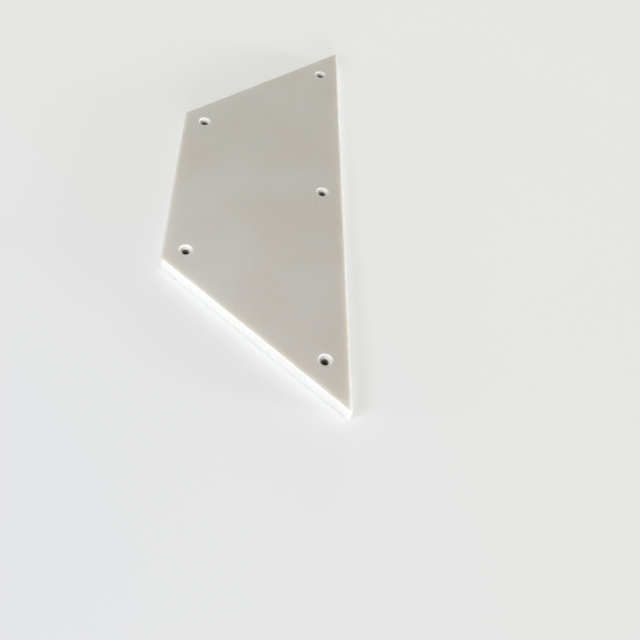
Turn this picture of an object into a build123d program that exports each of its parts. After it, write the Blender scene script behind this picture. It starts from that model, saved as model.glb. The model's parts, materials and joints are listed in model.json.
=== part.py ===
from build123d import *
import math
import os

# A wear liner plate cut from thick polyethylene sheet: an isosceles trapezoid, held down by
# countersunk bolts in a row of three along its long edge and a row of two along its short one.
# X points from the short edge to the long edge, Y runs along both, and Z from the back face up
# to the wear face. The origin is in the back face, halfway between the parallel edges and
# halfway along them. All sizes are in millimetres and degrees.

# Outline and sheet
long_edge = 900.0
short_edge = 375.0
width = 300.0  # square across, from the short edge to the long edge
thickness = 25.0

# Edges. The sheet is planed to a bar with two chamfers, then the ends are sawn off it
wear_chamfer = 3.0  # along the long and the short edge of the wear face
end_chamfer = 1.0  # at the sawn ends of the wear face, which are only broken
back_chamfer = 1.0  # all round the back face
corner_radius = 3.0  # the four upright corners

# Bolt holes
hole_diameter = 11.0  # clears an M10 bolt
countersink_diameter = 22.0
countersink_angle = 90.0
side_inset = 38.0  # hole centre to the long edge, or to the short edge
end_inset = 41.0  # hole centre to the nearest sawn end, square to that end
long_row_count = 3
short_row_count = 2

# Each sawn end leans back by end_run along Y while it crosses the plate
end_run = (long_edge - short_edge) / 2
end_length = math.hypot(end_run, width)


def end_hole_y(from_long_edge):
    """Y of the end hole in a row that lies this far from the long edge."""
    sawn_end_y = long_edge / 2 - from_long_edge * end_run / width
    return sawn_end_y - end_inset * end_length / width


# X of each row, Y of its end holes, and its number of holes, evenly spaced
bolt_rows = (
    (width / 2 - side_inset, end_hole_y(side_inset), long_row_count),
    (side_inset - width / 2, end_hole_y(width - side_inset), short_row_count),
)

with BuildPart() as liner_plate:
    with BuildSketch() as outline:
        with BuildLine():
            Polyline(
                (width / 2, -long_edge / 2),
                (width / 2, long_edge / 2),
                (-width / 2, short_edge / 2),
                (-width / 2, -short_edge / 2),
                close=True,
            )
        make_face()
        fillet(outline.vertices(), corner_radius)
    extrude(amount=thickness)

    wear_face = liner_plate.faces().sort_by(Axis.Z)[-1]
    chamfer(wear_face.edges(), end_chamfer)
    back_face = liner_plate.faces().sort_by(Axis.Z)[0]
    chamfer(back_face.edges(), back_chamfer)

    # The planed chamfers run straight on past the corners, as they did along the bar
    with BuildSketch(Plane.XZ) as bar_section:
        Rectangle(width, thickness, align=(Align.CENTER, Align.MIN))
        chamfer(bar_section.vertices().group_by(Axis.Y)[-1], wear_chamfer)
    extrude(amount=long_edge / 2, both=True, mode=Mode.INTERSECT)

    for row_x, end_y, count in bolt_rows:
        with Locations((row_x, 0, thickness)):
            with GridLocations(0, 2 * end_y / (count - 1), 1, count):
                CounterSinkHole(
                    radius=hole_diameter / 2,
                    counter_sink_radius=countersink_diameter / 2,
                    counter_sink_angle=countersink_angle,
                )

liner_plate.part.label = "liner_plate"

os.makedirs("parts", exist_ok=True)
export_step(liner_plate.part, "parts/liner_plate.step")
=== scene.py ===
import json
import math

import bmesh
import bpy
from mathutils import Matrix, Vector, noise


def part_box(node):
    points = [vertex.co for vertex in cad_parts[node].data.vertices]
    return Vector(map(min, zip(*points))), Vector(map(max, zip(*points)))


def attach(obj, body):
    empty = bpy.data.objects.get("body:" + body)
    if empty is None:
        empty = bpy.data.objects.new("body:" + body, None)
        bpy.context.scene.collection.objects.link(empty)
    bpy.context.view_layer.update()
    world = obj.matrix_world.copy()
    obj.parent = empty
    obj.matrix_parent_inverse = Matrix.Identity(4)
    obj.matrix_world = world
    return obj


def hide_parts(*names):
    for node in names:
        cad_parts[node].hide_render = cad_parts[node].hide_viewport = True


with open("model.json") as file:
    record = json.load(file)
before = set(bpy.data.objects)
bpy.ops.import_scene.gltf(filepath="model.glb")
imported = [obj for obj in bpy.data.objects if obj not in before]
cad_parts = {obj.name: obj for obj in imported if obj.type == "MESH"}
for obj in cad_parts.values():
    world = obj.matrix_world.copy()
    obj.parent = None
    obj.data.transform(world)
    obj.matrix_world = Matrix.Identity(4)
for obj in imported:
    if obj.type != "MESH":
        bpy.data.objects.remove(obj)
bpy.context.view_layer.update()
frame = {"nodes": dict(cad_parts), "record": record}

# A polyethylene wear liner plate, lying on a pale studio floor.
# X points towards the long edge, Y along it and Z out of the wear face, in metres. The plate's
# mesh is drawn in millimetres and scaled down when it is done.

plateLow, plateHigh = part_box("liner_plate")
mounts = {mount["name"]: mount for mount in frame["record"]["mounts"]}
mm = 0.001
print("frame loaded, nodes:", sorted(frame["nodes"]))


def linearColour(hexCode):
    # an sRGB hex colour as the linear RGBA that the shader sockets take
    channels = [int(hexCode[i:i + 2], 16) / 255 for i in (1, 3, 5)]
    linear = [c / 12.92 if c <= 0.04045 else ((c + 0.055) / 1.055) ** 2.4 for c in channels]
    return (*linear, 1.0)


def addNode(tree, kind, inputs=None, **settings):
    # an input is given either a value or an output socket to link from
    node = tree.nodes.new(kind)
    for name, value in settings.items():
        setattr(node, name, value)
    for name, value in (inputs or {}).items():
        if isinstance(value, bpy.types.NodeSocket):
            tree.links.new(value, node.inputs[name])
        else:
            node.inputs[name].default_value = value
    return node


def newMaterial(name):
    material = bpy.data.materials.new(name)
    material.use_nodes = True
    material.node_tree.nodes.clear()
    return material, material.node_tree


def meshObject(name, bm, materials):
    mesh = bpy.data.meshes.new(name)
    bm.to_mesh(mesh)
    bm.free()
    for material in materials:
        mesh.materials.append(material)
    piece = bpy.data.objects.new(name, mesh)
    bpy.context.scene.collection.objects.link(piece)
    return piece


# Natural polyethylene: milky right through, so light sinks in some millimetres and the edges
# glow warm, and waxy rather than glossy. Each finish below is how one face was cut.
resin = {
    "milk": "#E6E4DF",
    "cream": "#E2DED6",         # slightly warmer clouds in the sheet
    "cloudSize": 130 * mm,
    "gritSize": 1.2 * mm,       # finer in a real sheet, where it wouldn't show
    "gritDepth": 0.02 * mm,
    "chatterDepth": 0.01 * mm,
    "sinkReach": (1.0, 0.88, 0.74),     # red light sinks in deepest
    "ior": 1.51,
}


def resinColour(tree, place, finish):
    # milk with clouds of cream in it
    clouds = addNode(tree, "ShaderNodeTexNoise", {
        "Vector": place, "Scale": 1 / resin["cloudSize"], "Detail": 3.0})
    cloudShare = addNode(tree, "ShaderNodeMapRange", {
        "Value": clouds.outputs["Fac"], "From Min": 0.35, "From Max": 0.65})
    colour = addNode(tree, "ShaderNodeMix", {
        "Factor": cloudShare.outputs["Result"],
        "A": linearColour(finish.get("milk", resin["milk"])),
        "B": linearColour(finish.get("cream", resin["cream"]))}, data_type="RGBA")
    if "paintedShade" in finish:
        # painted shade down a bore: the colour darkens towards its back end, where light doesn't
        # reach
        height = addNode(tree, "ShaderNodeSeparateXYZ", {"Vector": place})
        unshadedShare = addNode(tree, "ShaderNodeMapRange", {
            "Value": height.outputs["Z"], "From Min": finish["paintedShadeFullBelow"],
            "From Max": finish["paintedShadeNoneAbove"]})
        colour = addNode(tree, "ShaderNodeMix", {
            "Factor": unshadedShare.outputs["Result"], "A": linearColour(finish["paintedShade"]),
            "B": colour.outputs["Result"]}, data_type="RGBA")
    return colour.outputs["Result"]


def toolMarks(tree, place, finish):
    # noise drawn out along the way that the cutter went
    along = addNode(tree, "ShaderNodeMapping", {
        "Vector": place, "Scale": [1 / size for size in finish["markSize"]],
        "Rotation": finish.get("markTurn", (0, 0, 0))})
    return addNode(tree, "ShaderNodeTexNoise", {
        "Vector": along.outputs["Vector"], "Scale": 1.0, "Detail": 4.0,
        "Roughness": 0.6}).outputs["Fac"]


def surfaceRelief(tree, place, marks, finish):
    # grit, then tool marks, then the ripple of a planer
    grit = addNode(tree, "ShaderNodeTexNoise", {
        "Vector": place, "Scale": 1 / resin["gritSize"], "Detail": 2.0})
    relief = addNode(tree, "ShaderNodeBump", {
        "Height": grit.outputs["Fac"], "Strength": 0.25, "Distance": resin["gritDepth"]})
    relief = addNode(tree, "ShaderNodeBump", {
        "Height": marks, "Strength": 0.6, "Distance": finish["markDepth"],
        "Normal": relief.outputs["Normal"]})
    if "chatter" in finish:
        # at a scale of 1 this node's waves turn through 20 radians in each metre
        ripple = addNode(tree, "ShaderNodeTexWave", {
            "Vector": place, "Scale": math.tau / 20 / finish["chatter"], "Distortion": 0.6,
            "Detail": 1.0, "Detail Scale": 0.3}, bands_direction="Y")
        relief = addNode(tree, "ShaderNodeBump", {
            "Height": ripple.outputs["Fac"], "Strength": 0.5, "Distance": resin["chatterDepth"],
            "Normal": relief.outputs["Normal"]})
    return relief.outputs["Normal"]


# Scuffs: short pale scratches from handling, in a few patches and two directions
scuffing = {
    "patchSize": 70 * mm,
    "patchEdge": (0.5, 0.62),   # the noise values between which a patch fades in
    "scratchTurns": (0.35, -0.9),       # radians between the scratches and the long edge
    "scratchWidth": 0.9 * mm,
    "scratchLength": 35 * mm,
    "scratchEdge": (0.66, 0.74),
    "scratchDepth": 0.05 * mm,
    "paler": 0.06,
    "rougher": 0.2,
}


def scuffShare(tree, place):
    patches = addNode(tree, "ShaderNodeTexNoise", {
        "Vector": place, "Scale": 1 / scuffing["patchSize"], "Detail": 1.0})
    patchLow, patchHigh = scuffing["patchEdge"]
    share = addNode(tree, "ShaderNodeMapRange", {
        "Value": patches.outputs["Fac"], "From Min": patchLow, "From Max": patchHigh})
    across, lengthways = 1 / scuffing["scratchWidth"], 1 / scuffing["scratchLength"]
    scratchLow, scratchHigh = scuffing["scratchEdge"]
    layers = []
    for turn in scuffing["scratchTurns"]:
        along = addNode(tree, "ShaderNodeMapping", {
            "Vector": place, "Rotation": (0, 0, turn),
            "Scale": (across, lengthways, lengthways)})
        lines = addNode(tree, "ShaderNodeTexNoise", {
            "Vector": along.outputs["Vector"], "Scale": 1.0, "Detail": 1.0})
        layers.append(addNode(tree, "ShaderNodeMapRange", {
            "Value": lines.outputs["Fac"], "From Min": scratchLow,
            "From Max": scratchHigh}).outputs["Result"])
    either = addNode(tree, "ShaderNodeMath", dict(enumerate(layers)), operation="MAXIMUM")
    return addNode(tree, "ShaderNodeMath", {
        0: either.outputs["Value"], 1: share.outputs["Result"]},
        operation="MULTIPLY").outputs["Value"]


def polyethylene(name, finish):
    material, tree = newMaterial(name)
    place = addNode(tree, "ShaderNodeTexCoord").outputs["Object"]
    colour = resinColour(tree, place, finish)
    marks = toolMarks(tree, place, finish)
    roughLow, roughHigh = finish["roughness"]
    tint = addNode(tree, "ShaderNodeMapRange", {
        "Value": marks, "From Min": 0.3, "From Max": 0.7,
        "To Min": 1 - finish["markTint"], "To Max": 1.0}).outputs["Result"]
    rough = addNode(tree, "ShaderNodeMapRange", {
        "Value": marks, "From Min": 0.25, "From Max": 0.75,
        "To Min": roughLow, "To Max": roughHigh}).outputs["Result"]
    normal = surfaceRelief(tree, place, marks, finish)
    if finish.get("scuffed"):
        scuffs = scuffShare(tree, place)
        tint = addNode(tree, "ShaderNodeMath", {
            0: scuffs, 1: scuffing["paler"], 2: tint},
            operation="MULTIPLY_ADD").outputs["Value"]
        rough = addNode(tree, "ShaderNodeMath", {
            0: scuffs, 1: scuffing["rougher"], 2: rough},
            operation="MULTIPLY_ADD").outputs["Value"]
        normal = addNode(tree, "ShaderNodeBump", {
            "Height": scuffs, "Strength": 0.5, "Distance": scuffing["scratchDepth"],
            "Normal": normal}, invert=True).outputs["Normal"]
    shaded = addNode(tree, "ShaderNodeVectorMath", {0: colour, "Scale": tint}, operation="SCALE")
    shader = addNode(tree, "ShaderNodeBsdfPrincipled", {
        "Base Color": shaded.outputs["Vector"], "Roughness": rough, "IOR": resin["ior"],
        "Normal": normal, "Subsurface Weight": finish.get("sink", 1.0),
        "Subsurface Radius": resin["sinkReach"], "Subsurface Scale": finish["sinkDepth"]},
        subsurface_method="RANDOM_WALK")
    addNode(tree, "ShaderNodeOutputMaterial", {"Surface": shader.outputs["BSDF"]})
    return material


# Planed: satin wax with faint lines along the feed and a low ripple across it, and scuffed
# by handling
planed = polyethylene("polyethylene, planed", {
    "markSize": (2.5 * mm, 400 * mm, 2.5 * mm),         # of one mark, along X, Y and Z
    "markDepth": 0.03 * mm,
    "markTint": 0.02,           # how much darker the marks are
    "roughness": (0.40, 0.50),
    "chatter": 4 * mm,          # from one ripple to the next
    "scuffed": True,
    "sinkDepth": 17 * mm,
})
# Sawn: duller, with the upright strokes of a coarse blade, about 2 mm apart
sawn = polyethylene("polyethylene, sawn", {
    "markSize": (2 * mm, 2 * mm, 60 * mm),
    "markTurn": (0.05, 0.03, 0),        # the blade leaned a little
    "markDepth": 0.12 * mm,
    "markTint": 0.03,
    "roughness": (0.50, 0.65),
    "sinkDepth": 17 * mm,
})
# Scraped: drawn over with a hand scraper, so a little smoother, with soft dents
scraped = polyethylene("polyethylene, scraped", {
    "markSize": (6 * mm, 25 * mm, 6 * mm),
    "markDepth": 0.05 * mm,
    "markTint": 0.01,
    "roughness": (0.35, 0.45),
    "sinkDepth": 17 * mm,
})
# Countersunk: cut last and never rubbed, so the whitest, with fine rings from the cutter
countersunk = polyethylene("polyethylene, countersunk", {
    "milk": "#F8F7F4",
    "cream": "#F5F3EF",
    "markSize": (60 * mm, 60 * mm, 0.7 * mm),
    "markDepth": 0.05 * mm,
    "markTint": 0.03,
    "roughness": (0.40, 0.55),
    "sink": 0.3,                # share of the light that sinks in
    "sinkDepth": 2.5 * mm,
})
# Drilled: torn by the drill, in a darker colour than the resin that goes darker still soon below
# the countersink: painted shade for the bore, where little light reaches
drilled = polyethylene("polyethylene, drilled", {
    # darker than the resin all through the bore, and darkest at depth: painted shade
    "milk": "#B5AEA4",
    "cream": "#ABA398",
    "paintedShade": "#4A4038",
    "paintedShadeFullBelow": 6 * mm,        # painted shade in full up to here, and none from paintedShadeNoneAbove on
    "paintedShadeNoneAbove": 18 * mm,
    "markSize": (30 * mm, 30 * mm, 0.9 * mm),
    "markDepth": 0.08 * mm,
    "markTint": 0.06,
    "roughness": (0.55, 0.75),
    "sink": 0.0,
    "sinkDepth": 1 * mm,
})
finishes = [planed, sawn, scraped, countersunk, drilled]
print("materials:", [material.name for material in finishes])


# The plate: its outline pulled up, its ends broken, its two long chamfers planed off, then
# five countersunk holes let into its two flat faces. In millimetres.
plateShape = {
    "longEdge": 900,            # between its sharp corners, as the short edge is
    "shortEdge": 375,
    "cornerRadius": 3.7,        # drawn 3, but this bevel's arc bulges in a sharp corner
    "cornerSides": 8,
    "planedChamfer": 3,
    "planedArris": 2.6,         # radius that softens both arrises of the planed chamfer
    "planedTilts": 14,
    "endChamfer": 1,
    "backChamfer": 1,
    "brokenArris": 0.3,         # how far the rounding reaches from the smaller arrises
    "arrisSides": 3,
    "countersinkRadius": 11,
    "holeRadius": mounts["short_edge_bolts"]["dims"]["hole_r_mm"],
    "holeArris": 0.35,
    "holeLand": 2,              # flat ring left round each hole
    "holeSides": 64,
    "cutSpacing": 15,
    "waver": 0.25,              # the edges were scraped by hand, so they wander
    "waverLength": 70,
}
plateFoot, plateTop = plateLow / mm, plateHigh / mm
halfWidth = (plateTop.x - plateFoot.x) / 2
hair = 0.001                    # places no further apart than this are the same


def boltPlaces():
    # the five hole centres, from the part's own mounts
    places = [Vector(mounts["long_edge_middle_bolt"]["pos_m"]) / mm]
    for name in ("long_edge_end_bolts", "short_edge_bolts"):
        centre = Vector(mounts[name]["pos_m"]) / mm
        reach = Vector((0, mounts[name]["dims"]["spacing_y_mm"] / 2, 0))
        places += [centre - reach, centre + reach]
    return [Vector((place.x, place.y, 0)) for place in places]


def isLevel(edge):
    return abs(edge.verts[0].co.z - edge.verts[1].co.z) < hair


def facesAt(bm, height):
    return [face for face in bm.faces
            if all(abs(vertex.co.z - height) < hair for vertex in face.verts)]


def everything(bm):
    return bm.verts[:] + bm.edges[:] + bm.faces[:]


def roundEdges(bm, edges, reach, shape):
    bmesh.ops.bevel(bm, geom=edges, offset=reach, offset_type="OFFSET",
                    segments=shape["arrisSides"], profile=0.5, affect="EDGES", material=-1,
                    clamp_overlap=False)


def drawOutline(shape, height):
    # the trapezoid, its corners acute at the long edge and obtuse at the short one
    bm = bmesh.new()
    bm.faces.new([bm.verts.new((x, y / 2, height)) for x, y in (
        (halfWidth, -shape["longEdge"]), (halfWidth, shape["longEdge"]),
        (-halfWidth, shape["shortEdge"]), (-halfWidth, -shape["shortEdge"]))])
    lean = math.atan2((shape["longEdge"] - shape["shortEdge"]) / 2, 2 * halfWidth)
    for side, angle in ((1, math.pi / 2 - lean), (-1, math.pi / 2 + lean)):
        corners = [vertex for vertex in bm.verts if abs(vertex.co.x - side * halfWidth) < hair]
        bmesh.ops.bevel(bm, geom=corners, offset=shape["cornerRadius"] / math.tan(angle / 2),
                        offset_type="OFFSET", segments=shape["cornerSides"], profile=0.5,
                        affect="VERTICES", material=-1, clamp_overlap=False)
    return bm


def planeEdge(bm, side, shape):
    # shaves the chamfer off one of the parallel edges, tilting the plane a little at each pass
    # so that both its arrises come out round
    arris, chamfer = shape["planedArris"], shape["planedChamfer"]
    cut = halfWidth + plateTop.z - chamfer - arris * math.sqrt(2)
    inner = [Vector((cut - plateTop.z + arris, plateTop.z - arris)),
             Vector((halfWidth - arris, cut - halfWidth + arris))]
    for i in range(1, shape["planedTilts"]):
        tilt = math.pi / 2 * i / shape["planedTilts"]
        away = Vector((math.sin(tilt), math.cos(tilt)))
        reach = arris + max(corner.dot(away) for corner in inner)
        shaved = bmesh.ops.bisect_plane(
            bm, geom=everything(bm), dist=hair / 10, clear_outer=True,
            plane_co=(side * away.x * reach, 0, away.y * reach),
            plane_no=(side * away.x, 0, away.y))
        bmesh.ops.holes_fill(bm, edges=[item for item in shaved["geom_cut"]
                                        if isinstance(item, bmesh.types.BMEdge)], sides=0)


def waverEdges(bm, shape, sideLow):
    # pulls the edges of the wear face in by an uneven amount, and the sides below them by less
    bm.normal_update()
    for vertex in bm.verts:
        share = (vertex.co.z - sideLow) / (plateTop.z - sideLow)
        if share > 0:
            outwards = Vector((vertex.normal.x, vertex.normal.y, 0)).normalized()
            drift = noise.noise(Vector((vertex.co.x, vertex.co.y, 0)) / shape["waverLength"])
            vertex.co -= outwards * (drift + 1) / 2 * share * shape["waver"]


def buildBlank(shape):
    # the plate with no holes in it, and open where its two flat faces will be
    sideLow = plateFoot.z + shape["backChamfer"]
    sideHigh = plateTop.z - shape["endChamfer"]
    bm = drawOutline(shape, sideLow)
    grown = bmesh.ops.extrude_face_region(bm, geom=bm.faces[:], use_keep_orig=True)["geom"]
    top = next(item for item in grown if isinstance(item, bmesh.types.BMFace))
    bmesh.ops.translate(bm, verts=top.verts, vec=(0, 0, sideHigh - sideLow))
    bmesh.ops.recalc_face_normals(bm, faces=bm.faces)
    for height, chamfer in ((sideHigh, shape["endChamfer"]), (sideLow, shape["backChamfer"])):
        bmesh.ops.inset_individual(bm, faces=facesAt(bm, height), thickness=chamfer,
                                   depth=chamfer, use_even_offset=True)
    roundEdges(bm, [edge for edge in bm.edges if isLevel(edge)], shape["brokenArris"], shape)
    for side in (1, -1):
        planeEdge(bm, side, shape)

    # cuts across the plate, so that its edges have vertices to waver by
    cuts = round(shape["longEdge"] / shape["cutSpacing"])
    for i in range(1, cuts):
        y = shape["longEdge"] * (i / cuts - 0.5)
        bmesh.ops.bisect_plane(bm, geom=everything(bm), dist=hair * 10,
                               plane_co=(0, y, 0), plane_no=(0, 1, 0))
    for height in (plateTop.z, plateFoot.z):
        bmesh.ops.delete(bm, geom=facesAt(bm, height), context="FACES")
    waverEdges(bm, shape, sideLow)
    return bm


def letInHole(bm, centre, shape):
    # one ring drawn down through the plate: land, countersink, bore, and land at the back
    sink = shape["countersinkRadius"] - shape["holeRadius"]
    profile = [(shape["countersinkRadius"] + shape["holeLand"], plateTop.z),
               (shape["countersinkRadius"], plateTop.z),
               (shape["holeRadius"], plateTop.z - sink),
               (shape["holeRadius"], plateFoot.z),
               (shape["holeRadius"] + shape["holeLand"], plateFoot.z)]
    radius, height = profile[0]
    ring = bmesh.ops.create_circle(bm, cap_ends=False, segments=shape["holeSides"], radius=radius,
                                   matrix=Matrix.Translation(centre + Vector((0, 0, height))))
    edges = list(dict.fromkeys(edge for vertex in ring["verts"] for edge in vertex.link_edges))
    turned = []
    for nextRadius, nextHeight in profile[1:]:
        grown = bmesh.ops.extrude_edge_only(bm, edges=edges)["geom"]
        edges = [item for item in grown if isinstance(item, bmesh.types.BMEdge)]
        verts = [item for item in grown if isinstance(item, bmesh.types.BMVert)]
        bmesh.ops.scale(bm, vec=(nextRadius / radius, nextRadius / radius, 1),
                        space=Matrix.Translation(-centre), verts=verts)
        bmesh.ops.translate(bm, vec=(0, 0, nextHeight - height), verts=verts)
        radius, height = nextRadius, nextHeight
        turned += edges
    turned = [edge for edge in turned if not edge.is_boundary]
    roundEdges(bm, turned, shape["holeArris"], shape)


def closeFaces(bm):
    # fills the wear face and the back face between the outline and the holes
    for height in (plateTop.z, plateFoot.z):
        rims = [edge for edge in bm.edges
                if edge.is_boundary and abs(edge.verts[0].co.z - height) < hair]
        bmesh.ops.triangle_fill(bm, edges=rims, use_beauty=True, normal=(0, 0, 1))
    bmesh.ops.recalc_face_normals(bm, faces=bm.faces)


def chooseFinish(face, places, shape):
    centre = face.calc_center_median()
    fromHole = min(math.hypot(centre.x - place.x, centre.y - place.y) for place in places)
    sinkFloor = plateTop.z - shape["countersinkRadius"] + shape["holeRadius"]
    if abs(face.normal.z) > 0.9999:
        return planed           # the wear face and the back
    if fromHole < shape["countersinkRadius"] + shape["holeArris"]:
        return countersunk if centre.z > sinkFloor else drilled
    if abs(face.normal.z) < 0.02:
        # the upright sides: planed where they face along X, and sawn at the ends
        return planed if abs(face.normal.x) > 0.95 else sawn
    return scraped              # every chamfer and arris


def buildPlate(shape):
    places = boltPlaces()
    bm = buildBlank(shape)
    for place in places:
        letInHole(bm, place, shape)
    closeFaces(bm)
    for face in bm.faces:
        face.smooth = True
        face.material_index = finishes.index(chooseFinish(face, places, shape))
    bmesh.ops.scale(bm, vec=(mm, mm, mm), verts=bm.verts)
    print("plate faces:", len(bm.faces), "open or crossed edges:",
          sum(not edge.is_manifold for edge in bm.edges))
    plate = meshObject("liner_plate_dressed", bm, finishes)
    flatter = plate.modifiers.new("flatter faces", "WEIGHTED_NORMAL")
    flatter.weight = 100
    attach(plate, "root")
    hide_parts("liner_plate")


buildPlate(plateShape)


# Studio: a pale floor that keeps the plate's shadow, soft daylight from the front and sides
studio = {
    "floorColour": "#D2D4D4",
    "floorSize": 12.0,
    "floorDrop": 0.5 * mm,      # just clear of the plate's back
    "floorLift": 0.5,           # brightness added only for the camera and reflections
    "boxShare": 0.4,            # how much of it goes where the soft box lights the floor instead
    "mottle": 3.0,              # soft patches to the metre, in the card
    "mottleTone": 0.985,        # of the darkest
    "skyLight": (0.282, 0.268, 0.218, 1.0),
    "skySeen": (0.81, 0.81, 0.80, 1.0),
    # from which side (0 is the camera's), how high, strength, softness, colour
    "suns": {
        "front window": (4, 5, 0.73, 24, (0.86, 0.92, 1.0)),
        "right window": (78, 3, 1.18, 14, (0.89, 0.91, 1.0)),
        "left window": (-80, 5, 0.26, 20, (0.95, 0.98, 1.0)),
        "back window": (172, 5, 0.25, 20, (1.0, 0.97, 0.90)),
    },
    # a soft box near the front left corner, so that the near end is brighter than the far one
    "boxPlace": (-0.85, -1.05, 0.75),
    "boxSize": 0.6,
    "boxPower": 10.0,
    "boxColour": (0.89, 0.89, 1.0),
}


def seenDirectly(tree):
    # 1 for what the camera, a reflection or a refraction sees, 0 for light that falls on things
    ray = addNode(tree, "ShaderNodeLightPath")
    seen = addNode(tree, "ShaderNodeMath", {
        0: ray.outputs["Is Camera Ray"], 1: ray.outputs["Is Glossy Ray"]}, operation="ADD")
    return addNode(tree, "ShaderNodeMath", {
        0: seen.outputs["Value"], 1: ray.outputs["Is Transmission Ray"]},
        operation="ADD", use_clamp=True).outputs["Value"]


def floorGlow(tree, place):
    # the floor's lift, less where the soft box lights it. A flat lamp lights the floor by how
    # far in front of it a spot lies, over the fourth power of the distance
    fromBox = addNode(tree, "ShaderNodeVectorMath", {
        0: place, 1: studio["boxPlace"]}, operation="SUBTRACT").outputs["Vector"]
    distance = addNode(tree, "ShaderNodeVectorMath", {0: fromBox}, operation="LENGTH")
    inFront = addNode(tree, "ShaderNodeVectorMath", {
        0: fromBox, 1: -Vector(studio["boxPlace"]).normalized()}, operation="DOT_PRODUCT")
    falloff = addNode(tree, "ShaderNodeMath", {
        0: distance.outputs["Value"], 1: -4.0}, operation="POWER")
    boxLight = addNode(tree, "ShaderNodeMath", {
        0: inFront.outputs["Value"], 1: falloff.outputs["Value"]},
        operation="MULTIPLY", use_clamp=True)
    added = addNode(tree, "ShaderNodeMath", {
        0: boxLight.outputs["Value"], 1: -studio["boxShare"], 2: studio["floorLift"]},
        operation="MULTIPLY_ADD", use_clamp=True)
    lift = addNode(tree, "ShaderNodeMath", {
        0: seenDirectly(tree), 1: added.outputs["Value"]}, operation="MULTIPLY")
    return addNode(tree, "ShaderNodeEmission", {
        "Strength": lift.outputs["Value"]}).outputs["Emission"]


def buildFloor():
    # matte pale card: a hint of fibre, no gloss
    material, tree = newMaterial("card, matte pale")
    place = addNode(tree, "ShaderNodeTexCoord").outputs["Object"]
    fibre = addNode(tree, "ShaderNodeTexNoise", {"Vector": place, "Scale": studio["mottle"]})
    tone = addNode(tree, "ShaderNodeMapRange", {
        "Value": fibre.outputs["Fac"], "To Min": studio["mottleTone"], "To Max": 1.0})
    shade = addNode(tree, "ShaderNodeVectorMath", {
        0: linearColour(studio["floorColour"])[:3], "Scale": tone.outputs["Result"]},
        operation="SCALE")
    matte = addNode(tree, "ShaderNodeBsdfDiffuse", {"Color": shade.outputs["Vector"]})
    both = addNode(tree, "ShaderNodeAddShader", {
        0: matte.outputs["BSDF"], 1: floorGlow(tree, place)})
    addNode(tree, "ShaderNodeOutputMaterial", {"Surface": both.outputs["Shader"]})
    bm = bmesh.new()
    bmesh.ops.create_grid(bm, x_segments=1, y_segments=1, size=studio["floorSize"] / 2)
    bmesh.ops.translate(bm, verts=bm.verts, vec=(0, 0, plateLow.z - studio["floorDrop"]))
    meshObject("studio_floor", bm, [material])


def buildSky():
    world = bpy.data.worlds.new("studio")
    bpy.context.scene.world = world
    world.use_nodes = True
    tree = world.node_tree
    sky = addNode(tree, "ShaderNodeMix", {
        "Factor": seenDirectly(tree), "A": studio["skyLight"], "B": studio["skySeen"]},
        data_type="RGBA")
    tree.links.new(sky.outputs["Result"], tree.nodes["Background"].inputs["Color"])


def hangLamp(lamp, towards, place=(0, 0, 0)):
    # a lamp that shines from the side that the vector points to
    hung = bpy.data.objects.new(lamp.name, lamp)
    hung.location = place
    hung.rotation_euler = towards.to_track_quat("Z", "Y").to_euler()
    bpy.context.scene.collection.objects.link(hung)


def buildLamps():
    for name, (side, height, strength, softness, colour) in studio["suns"].items():
        lamp = bpy.data.lights.new(name, "SUN")
        lamp.energy = strength * math.pi        # at 1, a face square to it shows its own colour
        lamp.angle = math.radians(softness)
        lamp.color = colour
        side, height = math.radians(side), math.radians(height)
        hangLamp(lamp, Vector((math.sin(side) * math.cos(height),
                               -math.cos(side) * math.cos(height), math.sin(height))))
    lamp = bpy.data.lights.new("soft box", "AREA")
    lamp.energy = studio["boxPower"]
    lamp.size = studio["boxSize"]
    lamp.color = studio["boxColour"]
    hangLamp(lamp, Vector(studio["boxPlace"]), studio["boxPlace"])


buildFloor()
buildSky()
buildLamps()
print("studio set")


# Camera: hand-held, looking down over the near end
view = {
    "place": (-10.8 * mm, -928.6 * mm, 857.7 * mm),
    "lookDown": 52.02,          # degrees below level
    "heading": 10.23,           # degrees from +Y towards +X
    "roll": 12.21,              # degrees
    "focalPixels": 688.24,
    "imagePixels": 640,
    "sensorWidth": 36,          # millimetres
}


def buildCamera():
    lens = bpy.data.cameras.new("camera")
    lens.sensor_width = view["sensorWidth"]
    lens.lens = view["sensorWidth"] * view["focalPixels"] / view["imagePixels"]
    camera = bpy.data.objects.new("camera", lens)
    camera.matrix_world = (
        Matrix.Translation(view["place"])
        @ Matrix.Rotation(math.radians(-view["heading"]), 4, "Z")
        @ Matrix.Rotation(math.radians(90 - view["lookDown"]), 4, "X")
        @ Matrix.Rotation(math.radians(view["roll"]), 4, "Z"))
    bpy.context.scene.collection.objects.link(camera)
    bpy.context.scene.camera = camera


buildCamera()
bpy.context.scene.view_settings.view_transform = "Standard"
print("camera set")
